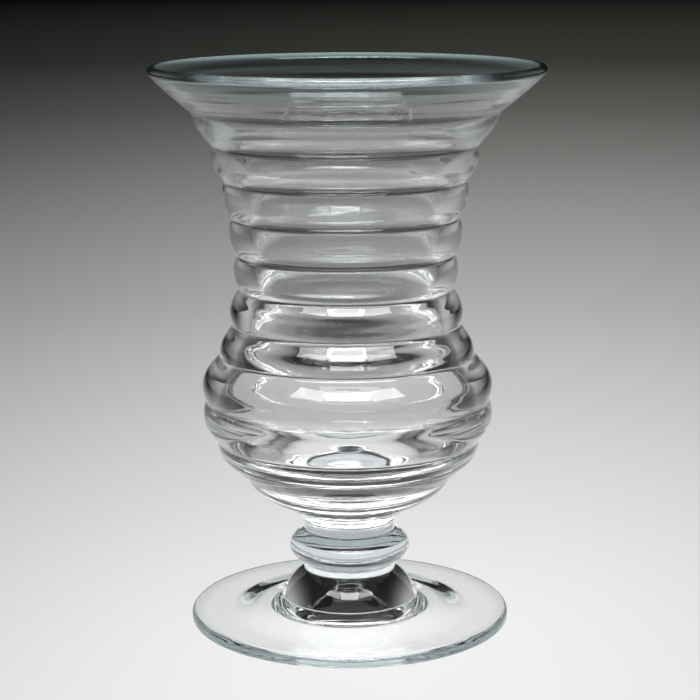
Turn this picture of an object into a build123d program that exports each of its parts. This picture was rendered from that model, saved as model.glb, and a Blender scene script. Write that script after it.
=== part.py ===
from build123d import *
from collections import namedtuple
from math import cos, radians, sin
import os

# A footed vase of hand-blown clear glass, in millimetres.
# Every piece is turned about the Z axis. The origin is the middle of the face that it stands on.

# Foot: a thin disc with a low cone on top
foot_radius = 73.1
foot_edge = 5.0
foot_edge_round = 1.9
foot_rise = 5.6
foot_low_dip = 0.6
foot_high_dip = 5.5

# Hollow under the foot, which leaves a flat ring to stand on
ring_width = 13.7
hollow_depth = 4.0
hollow_slope = 26.0

# Collar: a domed cushion of glass on the foot
collar_radius = 31.3
collar_height = 12.9
collar_low_bulge = 1.8
collar_high_bulge = 2.0

# Stem, knop and neck
stem_radius = 20.9
stem_height = 3.2
knop_height = 15.4
knop_bulge = 9.1
neck_radius = 20.6
neck_height = 5.1

# Bowl: the ribs from the neck up to the last crease. Each starts at the crease that closes the rib
# below it, stands to its own height, and ends at the radius of the crease above it. Its outline swells
# from the straight line between the two creases by one amount near the bottom and one near the top.
Rib = namedtuple("Rib", "height top_radius low_bulge high_bulge")
ribs = [
    Rib(21.4, 47.0, -2.7, 6.4),
    Rib(17.1, 59.4, 1.7, 6.1),
    Rib(18.1, 64.0, 3.8, 5.3),
    Rib(20.1, 57.3, 7.1, 3.9),
    Rib(14.2, 51.3, 3.1, 0.8),
    Rib(16.1, 47.9, 3.7, 3.0),
    Rib(15.5, 48.9, 2.4, 2.8),
    Rib(16.6, 50.8, 2.3, 3.6),
    Rib(16.6, 53.9, 2.3, 3.5),
    Rib(15.9, 59.3, 2.9, 2.8),
    Rib(14.8, 68.6, 0.8, 2.3),
]

# Flared mouth above the last crease, with a rounded lip
mouth_height = 20.4
lip_radius = 88.0
lip_thickness = 4.4
flare_angle = 41.5
flare_low_bulge = 0.3
flare_high_bulge = 0.9

# Glass of the bowl behind the creases, from the one above the solid ribs up to the mouth, and the share
# of each rib's swelling, and of the flare's, that the inner wall behind it keeps
walls = [6.0, 7.0, 8.0, 8.3, 8.4, 8.4, 8.0, 7.0, 4.5]
inner_shares = [0.3, 0.4, 0.6, 0.75, 0.75, 0.75, 0.8, 0.85, 0.9]

# Rounded floor inside the bowl: the solid glass under its middle, and a place where it starts to climb
floor_thickness = 38.4
climb_radius = 42.0
climb_rise = 8.4

# Heights of the joins, from the foot up
collar_base = foot_edge + foot_rise
stem_base = collar_base + collar_height
knop_base = stem_base + stem_height
neck_base = knop_base + knop_height
bowl_base = neck_base + neck_height


def outward_of(start, end):
    """The direction square to a line that runs up the outside of the glass, away from the axis."""
    along = (end - start).normalized()
    return Vector(along.Y, -along.X)


def swelling(start, end, low_bulge, high_bulge):
    """A curve from start to end that swells outward from the straight line between them."""
    a, b = Vector(start), Vector(end)
    third = (b - a) / 3
    outward = outward_of(a, b)
    return Bezier(a, a + third + outward * low_bulge, b - third + outward * high_bulge, b)


def turned(*outline):
    """The solid that an outline makes when it turns about Z. A point is radius, height."""
    return revolve(Plane.XZ * make_face(outline), Axis.Z)


def turned_between(base, bottom_radius, top, top_radius, low_bulge=0, high_bulge=0):
    """A solid bit of glass between two flat joins, with a swelling side."""
    return turned(
        Line((0, top), (0, base)),
        Line((0, base), (bottom_radius, base)),
        swelling((bottom_radius, base), (top_radius, top), low_bulge, high_bulge),
        Line((top_radius, top), (0, top)),
    )


def make_foot():
    """Disc with a low cone that ends in the collar's seat, and a hollow underside."""
    ring_inner = foot_radius - foot_edge_round - ring_width
    ceiling_radius = ring_inner - hollow_slope
    seat = (collar_radius, collar_base)
    brim = (foot_radius - foot_edge_round, foot_edge)
    return turned(
        Line((0, collar_base), (0, hollow_depth)),
        Line((0, hollow_depth), (ceiling_radius, hollow_depth)),
        Spline(
            [(ceiling_radius, hollow_depth), (ring_inner, 0)],
            tangents=[(1, 0), (1, 0)],
        ),
        Line((ring_inner, 0), (foot_radius - foot_edge_round, 0)),
        RadiusArc((foot_radius - foot_edge_round, 0), (foot_radius, foot_edge_round), -foot_edge_round),
        Line((foot_radius, foot_edge_round), (foot_radius, foot_edge - foot_edge_round)),
        RadiusArc((foot_radius, foot_edge - foot_edge_round), brim, -foot_edge_round),
        swelling(brim, seat, -foot_low_dip, -foot_high_dip),
        Line(seat, (0, collar_base)),
    )


def bowl_creases():
    """The creases between the ribs as radius, height, from the neck up."""
    points = [Vector(neck_radius, bowl_base)]
    for rib in ribs:
        points.append(Vector(rib.top_radius, points[-1].Y + rib.height))
    return points


def behind_crease(below, crease, above, wall):
    """The point of the inner wall that lies one wall thickness in from a crease."""
    return crease - outward_of(below, above) * wall


def behind_rib(start, end, rib, low_wall, high_wall, kept):
    """Points of the inner wall behind a rib, at the quarters of its height and from the bottom up."""
    gentle = swelling(start, end, rib.low_bulge * kept, rib.high_bulge * kept)
    points = []
    for share in (0.25, 0.5, 0.75):
        along = gentle % share
        wall = low_wall + (high_wall - low_wall) * share
        points.append(gentle @ share - Vector(along.Y, -along.X) * wall)
    return points


def make_bowl():
    """Ribbed body, flared mouth and lip, with an inner wall that follows them above a thick floor."""
    creases = bowl_creases()
    lip_round = lip_thickness / 2
    lip_middle = Vector(lip_radius - lip_round, creases[-1].Y + mouth_height - lip_round)
    across = Vector(sin(radians(flare_angle)), -cos(radians(flare_angle))) * lip_round
    outward = Vector(cos(radians(flare_angle)), sin(radians(flare_angle))) * lip_round
    lip_outer, lip_tip, lip_inner = lip_middle + across, lip_middle + outward, lip_middle - across

    flare = Rib(mouth_height, lip_radius, flare_low_bulge, flare_high_bulge)
    ends = [*creases, lip_outer]
    spans = list(zip(ends, ends[1:], [*ribs, flare]))
    outside = [swelling(start, end, rib.low_bulge, rib.high_bulge) for start, end, rib in spans]

    solid_ribs = len(ribs) - len(walls) + 1
    edges = ends[solid_ribs:]
    inner_ends = []
    for below, crease, above, wall in zip(edges, edges[1:], edges[2:], walls[1:]):
        inner_ends.append((behind_crease(below, crease, above, wall), above - below))
    inner_ends.append((lip_inner, outward))
    behind = []
    high_walls = [*walls[1:], lip_thickness]
    for span, low_wall, high_wall, kept in zip(spans[solid_ribs:], walls, high_walls, inner_shares):
        behind.append(behind_rib(*span, low_wall, high_wall, kept))

    floor = Vector(0, bowl_base + floor_thickness)
    climb = Vector(climb_radius, floor.Y + climb_rise)
    low, low_lead = inner_ends[0]
    inside = [Spline([floor, climb, *behind[0], low], tangents=[Vector(1, 0), low_lead])]
    for (low, low_lead), (high, high_lead), points in zip(inner_ends, inner_ends[1:], behind[1:]):
        inside.append(Spline([low, *points, high], tangents=[low_lead, high_lead]))

    return turned(
        Line((0, bowl_base), creases[0]),
        *outside,
        ThreePointArc(lip_outer, lip_tip, lip_inner),
        *inside,
        Line(floor, (0, bowl_base)),
    )


pieces = {
    "foot": make_foot(),
    "collar": turned_between(
        collar_base, collar_radius, stem_base, stem_radius, collar_low_bulge, collar_high_bulge
    ),
    "stem": turned_between(stem_base, stem_radius, knop_base, stem_radius),
    "knop": turned_between(knop_base, stem_radius, neck_base, neck_radius, knop_bulge, knop_bulge),
    "neck": turned_between(neck_base, neck_radius, bowl_base, neck_radius),
    "bowl": make_bowl(),
}

os.makedirs("parts", exist_ok=True)
for name, piece in pieces.items():
    export_step(piece, f"parts/{name}.step")
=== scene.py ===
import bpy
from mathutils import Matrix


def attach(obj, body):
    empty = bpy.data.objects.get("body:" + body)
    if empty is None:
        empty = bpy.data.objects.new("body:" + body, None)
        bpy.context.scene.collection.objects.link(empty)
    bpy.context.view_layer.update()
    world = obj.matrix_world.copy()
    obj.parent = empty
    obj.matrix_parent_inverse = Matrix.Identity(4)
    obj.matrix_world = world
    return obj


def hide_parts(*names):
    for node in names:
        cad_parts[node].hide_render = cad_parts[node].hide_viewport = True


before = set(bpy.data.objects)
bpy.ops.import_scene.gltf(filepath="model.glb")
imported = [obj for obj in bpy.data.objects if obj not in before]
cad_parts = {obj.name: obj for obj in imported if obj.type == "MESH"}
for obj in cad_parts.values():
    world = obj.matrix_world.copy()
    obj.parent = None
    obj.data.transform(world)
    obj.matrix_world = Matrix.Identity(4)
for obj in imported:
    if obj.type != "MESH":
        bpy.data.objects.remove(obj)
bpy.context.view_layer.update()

import math

import bpy
import numpy as np
from mathutils import Matrix, Vector

# A footed vase of hand-blown clear glass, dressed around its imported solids. Lengths are in metres.
# Each visual piece is turned from the outline that its solid has in the half plane y = 0, x > 0.

mm = 0.001
micron = 0.001 * mm

# Turned meshes: faces round the axis, steps along an outline, and what counts as a crease in it
around = 128
step = 0.65 * mm
crease_turn = math.radians(20)
crease_round = 0.7 * mm
crease_points = 4
length_jump = 4
join_gap = 0.01 * mm

# Material slots of a piece, and the flat ends that each piece is closed with
GLASS, JOIN = 0, 1
flat_ends = {
    "foot": {"low": GLASS, "high": JOIN},
    "collar": {"low": JOIN, "high": JOIN},
    "stem": {"low": JOIN, "high": JOIN},
    "knop": {"low": JOIN, "high": JOIN},
    "neck": {"low": JOIN, "high": JOIN},
    "bowl": {"low": JOIN},
}

# Uneven rings left by blowing and tooling: the waves that make them up, their length along the outline and
# its spread, their turns round the axis, how far they fade at a join, and how deep they are
ripple_waves = 24
ripple_length = 4.5 * mm
ripple_spread = (0.7, 2.0)
ripple_turns = (-4, 4)
ripple_fade = 4.0 * mm
ripple_depths = {
    "foot": 0.002 * mm,
    "collar": 0.006 * mm,
    "stem": 0.010 * mm,
    "knop": 0.012 * mm,
    "neck": 0.012 * mm,
    "bowl": 0.007 * mm,
}

# Lean of the hand-made bowl between its neck and its mouth, as height and shift along X
lean_heights = [0.047, 0.100, 0.150, 0.200, 0.225, 0.254]
lean_shifts = [0.0, -0.5 * mm, -1.0 * mm, -1.2 * mm, -1.0 * mm, 0.0]

# Glass: its refraction, the size of the clouds in its tint, and pairs of tints that the clouds run between
glass_ior = 1.52
cloud_scale = 14.0
cloud_detail = 2.0
thin_tints = ((0.95, 0.97, 0.975, 1), (0.98, 0.99, 0.99, 1))
thick_tints = ((0.58, 0.62, 0.65, 1), (0.66, 0.69, 0.72, 1))
# The knop's tints are its blue-grey colour, made darker as painted shade for the dark surroundings that it
# shows
knop_shade_tints = ((0.42, 0.46, 0.49, 1), (0.50, 0.54, 0.57, 1))

# Denser glass at the foot's edge and at the bowl's lip, and painted shade that darkens the bowl in the bulb
# and
# towards the mouth: the directions that a way is measured along, and tints at lengths along it
clear_tint = (1, 1, 1, 1)
edge_tint = (0.45, 0.58, 0.60, 1)
foot_way = ((1, 1, 0), [(71.2 * mm, clear_tint), (73.0 * mm, edge_tint)])
bowl_shade_and_edge_way = (
    (0, 0, 1),
    [
        (92 * mm, clear_tint),
        (108 * mm, (0.84, 0.825, 0.815, 1)),
        (120 * mm, (0.84, 0.825, 0.815, 1)),
        (138 * mm, (0.92, 0.92, 0.92, 1)),
        (170 * mm, (0.90, 0.90, 0.90, 1)),
        (194 * mm, (0.86, 0.86, 0.86, 1)),
        (210 * mm, (0.70, 0.70, 0.70, 1)),
        (226 * mm, (0.55, 0.55, 0.55, 1)),
        (242 * mm, (0.66, 0.66, 0.66, 1)),
        (253 * mm, edge_tint),
    ],
)

# Camera, from the photograph's perspective
camera_place = (0.0, -0.895, 0.313)
camera_lens = 103.755
camera_near = 0.01
camera_pitch = math.radians(11.84)
camera_yaw = math.radians(0.04)
camera_roll = math.radians(-0.249)

# Floor of pale paper with a faint grain
floor_radius = 14.0
floor_sides = 128
floor_drop = 0.2 * mm
floor_grey = 0.29
floor_roughness = 0.9
grain_scale = 900.0
grain_depth = 0.02

# Pool of light on the floor: its middle line a little right of the vase, its width, and its least strength
pool_middle = 0.05
pool_slant = 0.13
pool_width = 0.364
pool_spread = 0.173
pool_least = 0.25

# Glow of the floor as distance and brightness, its cast far off, and how far off the cast is full
glow_steps = [
    (0.0, 0.56), (0.07, 0.56), (0.2, 0.50), (0.45, 0.405), (0.8, 0.31), (1.45, 0.222),
    (2.0, 0.15), (2.65, 0.09), (4.0, 0.036), (7.0, 0.016), (9.0, 0.0),
]
far_cast = (0.93, 1.0, 0.83)
cast_reach = 5.0

# Light that the foot gathers on the floor under it: how much more, and where it starts to fade and ends
foot_gain = 1.45
foot_fade = (66 * mm, 72.5 * mm)

# Soft lights as place, width, depth and brightness, and the point that they face
softboxes = {
    "wide_softbox": ((0.10, -0.74, 1.16), 1.5, 0.50, 1.2),
    "main_softbox": ((0.0, -0.68, 1.12), 0.60, 0.42, 13.0),
    "left_softbox": ((-0.45, -0.52, 1.12), 0.50, 0.42, 7.5),
    "right_softbox": ((0.45, -0.52, 1.12), 0.50, 0.42, 7.5),
}
softbox_aim = (0.0, 0.0, 0.12)

# Dark room with two pale cards, to the left and right behind the vase: brightness, and where their soft
# edges start and end from the middle to the sides, from front to back, and upwards
room_grey = 0.012
card_grey = 0.5
card_sides = (0.35, 0.75)
card_back = (0.05, 0.5)
card_top = (0.0, 0.6)

# Times that light may pass or leave a surface, and pass a fused join
glass_bounces = 48
join_bounces = 64


def seam(node):
    """The outline of a solid as rows of radius and height, walked along its mesh from the bottom."""
    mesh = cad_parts[node].data
    places = np.zeros(len(mesh.vertices) * 3)
    mesh.vertices.foreach_get("co", places)
    x, y, z = places.reshape(-1, 3).T
    on_plane = (np.abs(y) < micron) & (x > -micron)
    keys = [(round(a / micron), round(b / micron)) for a, b in zip(x, z)]
    ends = np.zeros(len(mesh.edges) * 2, dtype=int)
    mesh.edges.foreach_get("vertices", ends)
    beside = {}

    def link(a, b):
        beside.setdefault(a, set()).add(b)
        beside.setdefault(b, set()).add(a)

    def loose_ends():
        return [key for key in beside if len(beside[key]) == 1]

    for a, b in ends.reshape(-1, 2):
        if on_plane[a] and on_plane[b] and keys[a] != keys[b]:
            link(keys[a], keys[b])
    # A flat ring has no edge in the plane, so its two rims are linked across it
    for a in loose_ends():
        for b in loose_ends():
            if a != b and a[1] == b[1]:
                link(a, b)

    walk = [min(loose_ends(), key=lambda key: key[1])]
    seen = set(walk)
    while True:
        ahead = [key for key in beside[walk[-1]] if key not in seen]
        if not ahead:
            return np.array(walk) * micron
        walk.append(ahead[0])
        seen.add(ahead[0])


def spans(line):
    """Lengths from each point of an outline to the next."""
    return np.hypot(*np.diff(line, axis=0).T)


def lengths(line):
    """Lengths along an outline from its start to each point."""
    return np.concatenate([[0], np.cumsum(spans(line))])


def creases(line):
    """The points of an outline where it turns sharply."""
    ahead = np.diff(line, axis=0)
    angle = np.arctan2(ahead[:, 1], ahead[:, 0])
    turn = (np.diff(angle) + math.pi) % (2 * math.pi) - math.pi
    return [i + 1 for i in range(len(turn)) if abs(turn[i]) > crease_turn]


def breaks(line):
    """The creases, and the points where a long straight stretch meets a tight curve."""
    length = spans(line)
    ratio = np.maximum(length[1:] / length[:-1], length[:-1] / length[1:])
    return sorted({*creases(line), *(i + 1 for i in range(len(ratio)) if ratio[i] > length_jump)})


def spline(points):
    """Points along a smooth curve through the given ones, about one step apart."""
    at = lengths(points)
    wanted = np.linspace(0, at[-1], max(2, round(at[-1] / step) + 1))
    n = len(points)
    if n < 3:
        return points[0] + (points[-1] - points[0]) * (wanted / at[-1])[:, None]

    # Cubic pieces that share slope and bend at each point. The two at either end are one cubic.
    gap = np.diff(at)
    slope = np.diff(points, axis=0) / gap[:, None]
    system = np.eye(n)
    right = np.zeros((n, 2))
    for i in range(1, n - 1):
        system[i, i - 1 : i + 2] = gap[i - 1], 2 * (gap[i - 1] + gap[i]), gap[i]
        right[i] = 6 * (slope[i] - slope[i - 1])
    if n > 3:
        system[0, :3] = gap[1], -gap[0] - gap[1], gap[0]
        system[-1, -3:] = gap[-1], -gap[-2] - gap[-1], gap[-2]
    bend = np.linalg.solve(system, right)

    i = np.clip(np.searchsorted(at, wanted, side="right") - 1, 0, n - 2)
    past = (wanted - at[i])[:, None]
    room = gap[i][:, None]
    return (
        points[i]
        + past * (slope[i] - room * (2 * bend[i] + bend[i + 1]) / 6)
        + past**2 * bend[i] / 2
        + past**3 * (bend[i + 1] - bend[i]) / (6 * room)
    )


def smooth_outline(line):
    """The outline with smooth runs, and each crease rounded a little as fire-polished glass is."""
    sharp = {tuple(line[i]) for i in creases(line)}
    marks = [0, *breaks(line), len(line) - 1]
    whole = []
    for a, b in zip(marks, marks[1:]):
        run = spline(line[a : b + 1])
        corner = line[a]
        if whole and tuple(corner) in sharp:
            before = whole[-1][np.hypot(*(whole[-1] - corner).T) > crease_round]
            run = run[np.hypot(*(run - corner).T) > crease_round]
            t = np.linspace(0, 1, crease_points + 2)[1:-1, None]
            bend = (1 - t) ** 2 * before[-1] + 2 * t * (1 - t) * corner + t**2 * run[0]
            whole[-1:] = [before, bend, run]
        else:
            whole.append(run[1:] if whole else run)
    return np.concatenate(whole)


def ripples(line, depth, seed):
    """Depth of the uneven rings at each point round each ring of an outline. The standing ring has none."""
    at = lengths(line)[:, None]
    angle = np.linspace(0, 2 * math.pi, around, endpoint=False)[None, :]
    random = np.random.default_rng(seed)
    field = np.zeros((len(line), around))
    for _ in range(ripple_waves):
        length = ripple_length * random.uniform(*ripple_spread)
        turns = int(random.integers(*ripple_turns, endpoint=True))
        phase = random.uniform(0, 2 * math.pi)
        field += np.cos(2 * math.pi * at / length + turns * angle + phase)
    fade = np.clip(np.minimum(at, at[-1] - at) / ripple_fade, 0, 1)
    fade *= np.clip(line[:, 1:] / ripple_fade, 0, 1)
    return depth * math.sqrt(2 / ripple_waves) * fade * field


def turned(name, line, depth, caps, materials):
    """A closed mesh that an outline makes round the Z axis. A cap closes a flat end with a material slot."""
    along = np.gradient(line, axis=0)
    along /= np.hypot(*along.T)[:, None]
    radius = line[:, :1] + along[:, 1:] * depth
    height = line[:, 1:] - along[:, :1] * depth
    angle = np.linspace(0, 2 * math.pi, around, endpoint=False)

    vertices, faces, slots, rings = [], [], [], []
    for i in range(len(line)):
        first = len(vertices)
        if line[i, 0] < micron:
            rings.append([first])
            vertices.append((0, 0, line[i, 1]))
        else:
            rings.append(range(first, first + around))
            vertices += zip(radius[i] * np.cos(angle), radius[i] * np.sin(angle), height[i])

    def band(low, high, slot):
        for j in range(around):
            k = (j + 1) % around
            if len(low) == 1:
                faces.append((low[0], high[k], high[j]))
            elif len(high) == 1:
                faces.append((low[j], low[k], high[0]))
            else:
                faces.append((low[j], low[k], high[k], high[j]))
            slots.append(slot)

    for low, high in zip(rings, rings[1:]):
        band(low, high, GLASS)
    if "low" in caps:
        vertices.append((0, 0, line[0, 1]))
        band([len(vertices) - 1], rings[0], caps["low"])
    if "high" in caps:
        vertices.append((0, 0, line[-1, 1]))
        band(rings[-1], [len(vertices) - 1], caps["high"])

    mesh = bpy.data.meshes.new(name)
    mesh.from_pydata(vertices, [], faces)
    for material in materials:
        mesh.materials.append(material)
    mesh.polygons.foreach_set("material_index", slots)
    mesh.polygons.foreach_set("use_smooth", [True] * len(slots))
    mesh.update()
    piece = bpy.data.objects.new(name, mesh)
    bpy.context.scene.collection.objects.link(piece)
    return piece


def lean(piece):
    """Shifts a piece along X by its height, as a hand-made bowl leans a little."""
    for vertex in piece.data.vertices:
        vertex.co.x += np.interp(vertex.co.z, lean_heights, lean_shifts)


def maths(tree, operation, *values):
    """The output of a math node. A plain number is set on its own socket."""
    node = tree.nodes.new("ShaderNodeMath")
    node.operation = operation
    for socket, value in zip(node.inputs, values):
        if isinstance(value, (int, float)):
            socket.default_value = value
        else:
            tree.links.new(value, socket)
    return node.outputs["Value"]


def length_of(tree, vector):
    """The length of a vector."""
    node = tree.nodes.new("ShaderNodeVectorMath")
    node.operation = "LENGTH"
    tree.links.new(vector, node.inputs[0])
    return node.outputs["Value"]


def fade_between(tree, value, start, end, low=0.0, high=1.0, kind="LINEAR"):
    """A number that goes from low to high as a value goes from start to end."""
    node = tree.nodes.new("ShaderNodeMapRange")
    node.interpolation_type = kind
    for name, number in (("From Min", start), ("From Max", end), ("To Min", low), ("To Max", high)):
        node.inputs[name].default_value = number
    tree.links.new(value, node.inputs["Value"])
    return node.outputs["Result"]


def colour_steps(tree, length, stops):
    """A colour that runs through stops as a length grows. A stop is a length and a colour."""
    start, end = stops[0][0], stops[-1][0]
    ramp = tree.nodes.new("ShaderNodeValToRGB")
    elements = ramp.color_ramp.elements
    while len(elements) < len(stops):
        elements.new(0.5)
    for element, (at, colour) in zip(elements, stops):
        element.position = (at - start) / (end - start)
        element.color = colour
    tree.links.new(fade_between(tree, length, start, end), ramp.inputs["Fac"])
    return ramp.outputs["Color"]


def new_material(name):
    """A new material, its node tree and its shader."""
    material = bpy.data.materials.new(name)
    material.use_nodes = True
    return material, material.node_tree, material.node_tree.nodes["Principled BSDF"]


def glass_material(name, tints, way=None):
    """Clear glass with a tint that is a little uneven, and that changes along a way if one is given: a
    denser edge, and on the bowl painted shade by height.
    """
    material, tree, shader = new_material(name)
    shader.inputs["Transmission Weight"].default_value = 1.0
    shader.inputs["IOR"].default_value = glass_ior
    shader.inputs["Roughness"].default_value = 0.0

    place = tree.nodes.new("ShaderNodeTexCoord").outputs["Object"]
    cloud = tree.nodes.new("ShaderNodeTexNoise")
    cloud.inputs["Scale"].default_value = cloud_scale
    cloud.inputs["Detail"].default_value = cloud_detail
    tree.links.new(place, cloud.inputs["Vector"])
    uneven = tree.nodes.new("ShaderNodeValToRGB")
    uneven.color_ramp.elements[0].color, uneven.color_ramp.elements[1].color = tints
    tree.links.new(cloud.outputs["Fac"], uneven.inputs["Fac"])
    tint = uneven.outputs["Color"]

    if way is not None:
        along, stops = way
        kept = tree.nodes.new("ShaderNodeVectorMath")
        kept.operation = "MULTIPLY"
        kept.inputs[1].default_value = along
        tree.links.new(place, kept.inputs[0])
        both = tree.nodes.new("ShaderNodeMixRGB")
        both.blend_type = "MULTIPLY"
        both.inputs["Fac"].default_value = 1.0
        tree.links.new(tint, both.inputs["Color1"])
        # Tint along the way: a denser edge, and on the bowl painted shade that darkens it by height
        edge_and_shade = colour_steps(tree, length_of(tree, kept.outputs["Vector"]), stops)
        tree.links.new(edge_and_shade, both.inputs["Color2"])
        tint = both.outputs["Color"]
    tree.links.new(tint, shader.inputs["Base Color"])
    return material


def join_material():
    """The fused joins, where one bit of glass runs into the next and nothing is seen."""
    material, tree, shader = new_material("fused_join")
    tree.nodes.remove(shader)
    clear = tree.nodes.new("ShaderNodeBsdfTransparent")
    tree.links.new(clear.outputs["BSDF"], tree.nodes["Material Output"].inputs["Surface"])
    return material


def floor_material():
    """Pale matt paper, lit near the vase and falling away into the dark."""
    material, tree, shader = new_material("pale_paper")
    shader.inputs["Roughness"].default_value = floor_roughness
    shader.inputs["Specular IOR Level"].default_value = 0.0
    place = tree.nodes.new("ShaderNodeTexCoord").outputs["Object"]
    split = tree.nodes.new("ShaderNodeSeparateXYZ")
    tree.links.new(place, split.inputs["Vector"])
    x, y = split.outputs["X"], split.outputs["Y"]

    # A soft pool of light about a line that slants away behind the vase
    width = maths(tree, "ADD", maths(tree, "MULTIPLY", maths(tree, "ABSOLUTE", y), pool_spread), pool_width)
    middle = maths(tree, "ADD", maths(tree, "MULTIPLY", y, pool_slant), pool_middle)
    off = maths(tree, "DIVIDE", maths(tree, "SUBTRACT", x, middle), width)
    pool = maths(tree, "EXPONENT", maths(tree, "MULTIPLY", maths(tree, "MULTIPLY", off, off), -0.5))
    pool = maths(tree, "ADD", maths(tree, "MULTIPLY", pool, 1 - pool_least), pool_least)

    paper = tree.nodes.new("ShaderNodeTexNoise")
    paper.inputs["Scale"].default_value = grain_scale
    tree.links.new(place, paper.inputs["Vector"])
    grain = maths(tree, "MULTIPLY", paper.outputs["Fac"], grain_depth)
    grain = maths(tree, "ADD", grain, floor_grey - grain_depth / 2)
    tree.links.new(maths(tree, "MULTIPLY", grain, pool), shader.inputs["Base Color"])

    stops = []
    for at, grey in glow_steps:
        share = min(at / cast_reach, 1)
        stops.append((at, (*(grey * (1 + (part - 1) * share) for part in far_cast), 1)))
    far = length_of(tree, place)
    tree.links.new(colour_steps(tree, far, stops), shader.inputs["Emission Color"])
    gain = fade_between(tree, far, *foot_fade, foot_gain, 1.0)
    tree.links.new(maths(tree, "MULTIPLY", pool, gain), shader.inputs["Emission Strength"])
    material.cycles.emission_sampling = "NONE"
    return material


def dark_room():
    """Surroundings that are dark, but for two pale cards that only the glass shows."""
    world = bpy.data.worlds.new("dark_room")
    world.use_nodes = True
    world.cycles_visibility.camera = False
    world.cycles_visibility.diffuse = False
    tree = world.node_tree
    towards = tree.nodes.new("ShaderNodeSeparateXYZ")
    tree.links.new(tree.nodes.new("ShaderNodeTexCoord").outputs["Generated"], towards.inputs["Vector"])
    aside = maths(tree, "ABSOLUTE", towards.outputs["X"])

    card = maths(
        tree,
        "MULTIPLY",
        fade_between(tree, aside, *card_sides, kind="SMOOTHSTEP"),
        fade_between(tree, towards.outputs["Y"], *card_back, kind="SMOOTHSTEP"),
    )
    below = fade_between(tree, towards.outputs["Z"], *card_top, 1.0, 0.0, "SMOOTHSTEP")
    card = maths(tree, "MULTIPLY", card, below)
    grey = maths(tree, "MULTIPLY_ADD", card, card_grey, room_grey)
    tree.links.new(grey, tree.nodes["Background"].inputs["Color"])
    return world


def make_camera():
    """The camera at the photograph's viewing angle."""
    lens = bpy.data.cameras.new("camera")
    lens.lens = camera_lens
    lens.clip_start = camera_near
    camera = bpy.data.objects.new("camera", lens)
    turn = (
        Matrix.Rotation(-camera_yaw, 4, "Z")
        @ Matrix.Rotation(math.pi / 2 - camera_pitch, 4, "X")
        @ Matrix.Rotation(camera_roll, 4, "Z")
    )
    camera.matrix_world = Matrix.Translation(camera_place) @ turn
    bpy.context.scene.collection.objects.link(camera)
    bpy.context.scene.camera = camera


def make_stage():
    """Floor, soft lights and dark room, and how light passes the glass."""
    scene = bpy.context.scene
    bpy.ops.mesh.primitive_circle_add(vertices=floor_sides, radius=floor_radius, fill_type="NGON")
    floor = bpy.context.object
    floor.name = "floor"
    floor.location.z = -floor_drop
    floor.data.materials.append(floor_material())

    for name, (place, wide, deep, bright) in softboxes.items():
        light = bpy.data.lights.new(name, "AREA")
        light.shape = "RECTANGLE"
        light.size, light.size_y = wide, deep
        light.energy = bright * math.pi * wide * deep
        lamp = bpy.data.objects.new(name, light)
        lamp.location = place
        lamp.rotation_euler = (Vector(softbox_aim) - Vector(place)).to_track_quat("-Z", "Y").to_euler()
        scene.collection.objects.link(lamp)

    scene.world = dark_room()
    scene.view_settings.view_transform = "Standard"
    scene.cycles.max_bounces = glass_bounces
    scene.cycles.glossy_bounces = glass_bounces
    scene.cycles.transmission_bounces = glass_bounces
    scene.cycles.transparent_max_bounces = join_bounces
    scene.cycles.caustics_reflective = False
    scene.cycles.caustics_refractive = False


make_stage()
make_camera()
join = join_material()
thick_glass = glass_material("thick_glass", thick_tints)
glasses = {
    "foot": glass_material("foot_glass", thin_tints, foot_way),
    "collar": glass_material("collar_glass", thin_tints),
    "stem": thick_glass,
    # The knop's darker tints are painted shade
    "knop": glass_material("knop_glass", knop_shade_tints),
    "neck": thick_glass,
    # The bowl's tint darkens by height as painted shade, with a denser edge at the lip
    "bowl": glass_material("bowl_glass", thin_tints, bowl_shade_and_edge_way),
}
for seed, (node, caps) in enumerate(flat_ends.items()):
    line = smooth_outline(seam(node))
    # The joins of two pieces stay a hair apart, so that no two faces lie in the same place
    if caps.get("low") == JOIN:
        line[0, 1] += join_gap
    if caps.get("high") == JOIN:
        line[-1, 1] -= join_gap
    depth = ripples(line, ripple_depths[node], seed)
    piece = turned(node + "_glass", line, depth, caps, [glasses[node], join])
    if node == "bowl":
        lean(piece)
    piece.visible_shadow = False
    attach(piece, "root")
    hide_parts(node)
